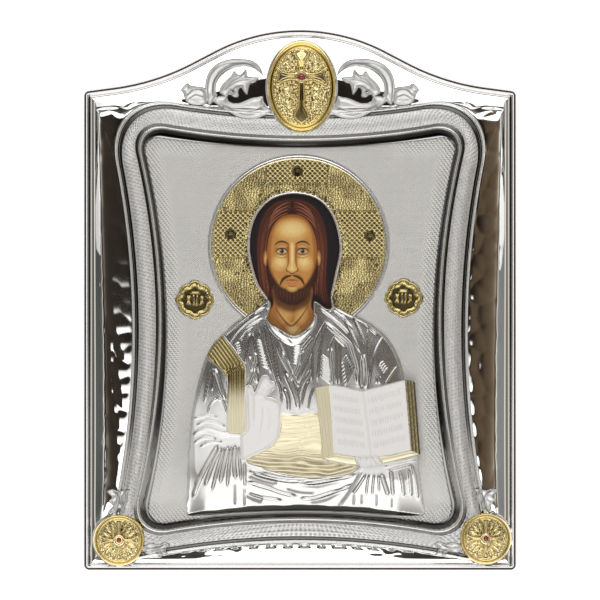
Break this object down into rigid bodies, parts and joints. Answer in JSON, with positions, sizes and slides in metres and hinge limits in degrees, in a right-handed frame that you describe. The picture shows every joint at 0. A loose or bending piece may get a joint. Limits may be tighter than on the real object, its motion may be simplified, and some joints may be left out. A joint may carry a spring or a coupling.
{
  "type": "icon panel",
  "caption": "Arched devotional panel with a waisted silver frame, an embossed half figure under a halo, a painted face in an opening, and gilt medallions.",
  "frame": {"origin": "middle of the flat underside, the panel lying on its back", "axes": "+X across the panel to the right, +Y towards the arched top, +Z out of the face"},
  "size_m": [0.2, 0.25, 0.0224],
  "materials": {
    "lacquered_wood": "dark mahogany gloss lacquer",
    "polished_silver": "polished, hammered",
    "relief_silver": "embossed, bright and satin areas",
    "gilt_silver": "gilt",
    "painted_panel": "painted and varnished",
    "red_stone": "cut and polished"
  },
  "bodies": {
    "root": {"backboard": "lacquered_wood", "silver_frame": "polished_silver", "painted_picture": "painted_panel", "icon_cover": "relief_silver", "oval_medallion": "gilt_silver", "corner_medallion_left": "gilt_silver", "corner_medallion_right": "gilt_silver", "stone_top": "red_stone", "stone_left": "red_stone", "stone_right": "red_stone"}
  },
  "joints": []
}
